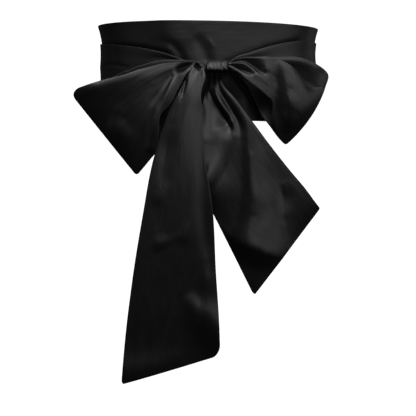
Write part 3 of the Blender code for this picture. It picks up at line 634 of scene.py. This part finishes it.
def knot_points():
    """The knot's sleeve along X, with pleats that run round it."""
    corners = len(KNOT_SECTION)
    knots = np.arange(-KNOT_OVERLAP, corners + KNOT_OVERLAP + 1)
    around = np.linspace(0, corners, KNOT_ROWS + 1)[:-1]
    section = curve_through(knots, np.take(KNOT_SECTION, knots, axis=0, mode="wrap"), around)
    turn, share = np.meshgrid(around, columns_over(KNOT_RIGHT - KNOT_LEFT), indexing="ij")
    place = share + KNOT_SLANT * np.sin(2 * np.pi * turn / corners)
    grooves = sum(p.depth * np.exp(-(((place - p.place) / p.width) ** 2)) for p in KNOT_PLEATS)
    from_end = np.minimum(share, 1 - share) * (KNOT_RIGHT - KNOT_LEFT)
    drawn_in = KNOT_TAPER * np.clip(1 - from_end / KNOT_END, 0, 1) ** 2
    spread = 1 - drawn_in + (KNOT_SWELL * np.sin(np.pi * share) - grooves) / KNOT_RADIUS
    y, z = (KNOT_CENTRE + (section[:, None] - KNOT_CENTRE) * spread[..., None]).transpose(2, 0, 1)
    return np.stack([KNOT_LEFT + (KNOT_RIGHT - KNOT_LEFT) * share, y, z], axis=-1)


def forms():
    """The points of every stretch of the sash, by the name of the node that has the same form."""
    points = {"turn_inner": turn_inner_points(), "turn_outer": turn_outer_points()}
    for node, loop in LOOPS.items():
        points[node] = loop_points(loop)
    for node, tail in TAILS.items():
        points[node] = tail_points(tail)
    points["knot"] = knot_points()
    return points


def slope(points, axis, closed):
    """Differences of neighbouring points along an axis of the grid."""
    if closed:
        return np.roll(points, -1, axis) - np.roll(points, 1, axis)
    return np.gradient(points, axis=axis)


def distance_from_start(points, axis):
    """Each point's distance, along an axis of the grid, from the first end of its line."""
    steps = np.linalg.norm(np.diff(points, axis=axis), axis=-1)
    start = np.zeros_like(np.take(steps, [0], axis=axis))
    return np.cumsum(np.concatenate([start, steps], axis=axis), axis=axis)


def distance_from_ends(points, axis):
    """Each point's distance, along an axis of the grid, from the nearer of that line's two ends."""
    run = distance_from_start(points, axis)
    return np.minimum(run, np.take(run, [-1], axis=axis) - run)


def places_in_cut(points, from_edge, closed):
    """Where each point lies in the flat strip: mm across it, along it and from its edge.

    The threads of a gathered strip draw together, so a column is at one place across it all along.
    """
    across_strip = np.broadcast_to(distance_from_start(points, 1).max(axis=0), from_edge.shape)
    along_strip = distance_from_ends(points, 0) if closed else distance_from_start(points, 0)
    return np.stack([across_strip, along_strip, from_edge], axis=-1)


def normals(points, closed):
    """Directions of length 1 that stand on the cloth at the points of its grid."""
    normal = np.cross(slope(points, 0, closed), slope(points, 1, False))
    return normal / np.linalg.norm(normal, axis=-1, keepdims=True)


def half_thickness(from_edge):
    """Half the cloth's thickness at a distance from its edge, which is round."""
    inward = np.clip(from_edge / EDGE_ROUND, 0, 1)
    return CLOTH / 2 * np.sqrt(1 - (1 - inward) ** 2)


def quads(index, closed):
    """The faces between the rows and columns of a grid of point numbers."""
    if closed:
        index = np.concatenate([index, index[:1]])
    corners = index[:-1, :-1], index[1:, :-1], index[1:, 1:], index[:-1, 1:]
    return np.stack(corners, axis=-1).reshape(-1, 4)


def face_pair(rows, columns, closed):
    """The faces of the cloth's outer side and of its inner side, which share the edges' points."""
    outer = np.arange(rows * columns).reshape(rows, columns)
    inner = outer + rows * columns
    inner[:, [0, -1]] = outer[:, [0, -1]]
    if not closed:
        inner[[0, -1]] = outer[[0, -1]]
    return np.concatenate([quads(outer, closed), quads(inner, closed)[:, ::-1]])


def add_object(name, data):
    """A new object of that data, in the scene."""
    made = bpy.data.objects.new(name, data)
    bpy.context.scene.collection.objects.link(made)
    return made


def add_mesh(name, places, faces):
    """A new object with smooth faces between places in metres."""
    mesh = bpy.data.meshes.new(name)
    mesh.from_pydata(places.tolist(), [], faces.tolist())
    mesh.polygons.foreach_set("use_smooth", np.ones(len(mesh.polygons), bool))
    return add_object(name, mesh)


def shell(name, points, closed):
    """Cloth of two faces through a grid of points, joined at its rounded edges.

    A closed grid's last row meets its first.
    """
    from_edge = distance_from_ends(points, 1)
    if not closed:
        from_edge = np.minimum(from_edge, distance_from_ends(points, 0))
    half = normals(points, closed) * half_thickness(from_edge)[..., None]
    places = np.concatenate([points + half, points - half]).reshape(-1, 3)
    in_cut = np.tile(places_in_cut(points, from_edge, closed).reshape(-1, 3), (2, 1))
    used, index = np.unique(face_pair(*from_edge.shape, closed), return_inverse=True)
    piece = add_mesh(name, places[used] * MM, index.reshape(-1, 4))
    cut = piece.data.attributes.new(CUT_PLACES, "FLOAT_VECTOR", "POINT")
    cut.data.foreach_set("vector", in_cut[used].ravel())
    return piece


def add_node(tree, kind, **inputs):
    """A node of that kind; an input takes a number, a colour or another node's output."""
    node = tree.nodes.new(kind)
    for name, value in inputs.items():
        socket = node.inputs[name.replace("_", " ")]
        if isinstance(value, bpy.types.NodeSocket):
            tree.links.new(value, socket)
        else:
            socket.default_value = value
    return node


def noise_of(tree, cut, grain):
    """Noise stretched over the flat strip to that grain's size."""
    scale = (1 / grain.across, 1 / grain.along, 0)
    place = add_node(tree, "ShaderNodeMapping", Vector=cut, Scale=scale)
    noise = add_node(
        tree, "ShaderNodeTexNoise", Vector=place.outputs[0], Scale=1.0, Detail=grain.octaves
    )
    return noise.outputs[0]


def ranged(tree, value, run, over):
    """The value's run between two numbers, laid over another two and held at its ends."""
    ends = {"From_Min": run[0], "From_Max": run[1], "To_Min": over[0], "To_Max": over[1]}
    return add_node(tree, "ShaderNodeMapRange", Value=value, **ends).outputs[0]


def combined(tree, operation, first, second):
    """Two values added or multiplied."""
    node = add_node(tree, "ShaderNodeMath")
    node.operation = operation
    tree.links.new(first, node.inputs[0])
    tree.links.new(second, node.inputs[1])
    return node.outputs[0]


def blended(tree, share, first, second):
    """The first colour where the share is 0, the second where it is 1."""
    node = add_node(tree, "ShaderNodeMix")
    node.data_type = "RGBA"
    tree.links.new(share, node.inputs["Factor"])
    node.inputs["A"].default_value = first
    node.inputs["B"].default_value = second
    return node.outputs["Result"]


def bumped(tree, reliefs):
    """The surface's normal with reliefs laid one over another, each a height and its grain."""
    normal = None
    for height, grain in reliefs:
        bump = add_node(tree, "ShaderNodeBump", Height=height, Distance=grain.depth * MM, Strength=1.0)
        if normal:
            tree.links.new(normal, bump.inputs["Normal"])
        normal = bump.outputs[0]
    return normal


def satin():
    """Black satin, with detail that follows the strip's own length and edges."""
    material = bpy.data.materials.new("black_satin")
    material.use_nodes = True
    tree = material.node_tree
    cut = add_node(tree, "ShaderNodeAttribute")
    cut.attribute_name = CUT_PLACES
    place = cut.outputs["Vector"]
    from_edge = add_node(tree, "ShaderNodeSeparateXYZ", Vector=place).outputs["Z"]

    slubs = noise_of(tree, place, SLUBS)
    waves = noise_of(tree, place, SOFT_WAVES)
    near_edge = ranged(tree, from_edge, (0.0, PUCKER_REACH), (1.0, 0.0))
    puckers = combined(tree, "MULTIPLY", noise_of(tree, place, PUCKERS), near_edge)
    floats = noise_of(tree, place, FLOATS)
    reliefs = (waves, SOFT_WAVES), (puckers, PUCKERS), (slubs, SLUBS), (floats, FLOATS)

    worn = ranged(tree, from_edge, (0.0, WORN_EDGE), (1.0, 0.0))
    lightened = ranged(tree, slubs, SLUB_RANGE, SLUB_LIGHTENING)
    rough = ranged(tree, waves, WAVE_RANGE, ROUGHNESS)
    rougher_edge = ranged(tree, from_edge, (0.0, WORN_EDGE), (EDGE_ROUGHNESS, 0.0))
    looks = {
        "Base Color": blended(tree, combined(tree, "ADD", lightened, worn), DEEPEST_BLACK, WORN_BLACK),
        "Roughness": combined(tree, "ADD", rough, rougher_edge),
        "Normal": bumped(tree, reliefs),
    }
    shader = tree.nodes["Principled BSDF"]
    for socket, value in looks.items():
        tree.links.new(value, shader.inputs[socket])
    return material


def dress():
    """Lays cloth over every node of the sash."""
    black = satin()
    pieces = {}
    for node, points in forms().items():
        piece = shell(f"satin_{node}", points, closed=node in RINGS)
        piece.data.materials.append(black)
        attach(piece, "root")
        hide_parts(node)
        pieces[node] = piece
    return pieces


def make_camera():
    """The camera of the photo."""
    data = bpy.data.cameras.new("camera")
    data.lens = CAMERA_LENS
    data.sensor_width = CAMERA_SENSOR
    camera = add_object("camera", data)
    camera.location = CAMERA_PLACE
    camera.rotation_euler = (np.pi / 2, 0, 0)
    bpy.context.scene.camera = camera


def add_softbox(box):
    """A rectangular lamp that isn't seen itself."""
    data = bpy.data.lights.new(box.name, "AREA")
    data.shape = "RECTANGLE"
    data.size = box.width
    data.size_y = box.height
    data.energy = box.power
    lamp = add_object(box.name, data)
    lamp.location = box.place
    direction = Vector(AIM) - Vector(box.place)
    lamp.rotation_euler = direction.to_track_quat("-Z", "Y").to_euler()
    lamp.visible_camera = False


def light_studio():
    """The soft lights, and a little light from all round."""
    for box in SOFTBOXES:
        add_softbox(box)
    world = bpy.data.worlds.new("studio")
    world.use_nodes = True
    background = world.node_tree.nodes["Background"]
    background.inputs["Color"].default_value = WHITE
    background.inputs["Strength"].default_value = WORLD_LIGHT
    bpy.context.scene.world = world


def room_profile():
    """Half a section of the room, from the middle of its floor to the middle of its ceiling."""
    quarter = np.linspace(0, np.pi / 2, COVE_STEPS + 1)
    out, up = STUDIO_COVE * np.sin(quarter), STUDIO_COVE * np.cos(quarter)
    straight = STUDIO_RADIUS - STUDIO_COVE
    lower = np.stack([straight + out, FLOOR + STUDIO_COVE - up], axis=-1)
    upper = np.stack([straight + up, STUDIO_HEIGHT - STUDIO_COVE + out], axis=-1)
    return np.concatenate([[(0.0, FLOOR)], lower, upper, [(0.0, STUDIO_HEIGHT)]])


def white_paint():
    """Paint that is white to the camera, however it is lit."""
    paint = bpy.data.materials.new("pale_paint")
    paint.use_nodes = True
    shader = paint.node_tree.nodes["Principled BSDF"]
    shader.inputs["Base Color"].default_value = PALE_GREY
    shader.inputs["Roughness"].default_value = 1.0
    shader.inputs["Emission Color"].default_value = WHITE
    shader.inputs["Emission Strength"].default_value = 1.0
    return paint


def studio_room():
    """A white round room with coved corners, which only the camera sees."""
    radius, height = room_profile().T[..., None]
    angle = 2 * np.pi * np.arange(STUDIO_SIDES) / STUDIO_SIDES
    places = np.stack(np.broadcast_arrays(radius * np.cos(angle), radius * np.sin(angle), height), axis=-1)
    index = np.arange(places[..., 0].size).reshape(len(radius), STUDIO_SIDES)
    index = np.concatenate([index, index[:, :1]], axis=1)
    room = add_mesh("studio_room", places.reshape(-1, 3), quads(index, False))
    room.data.materials.append(white_paint())
    room.visible_glossy = False
    room.visible_diffuse = False
    room.visible_shadow = False


make_camera()
light_studio()
studio_room()
dress()
bpy.context.scene.view_settings.view_transform = "Standard"
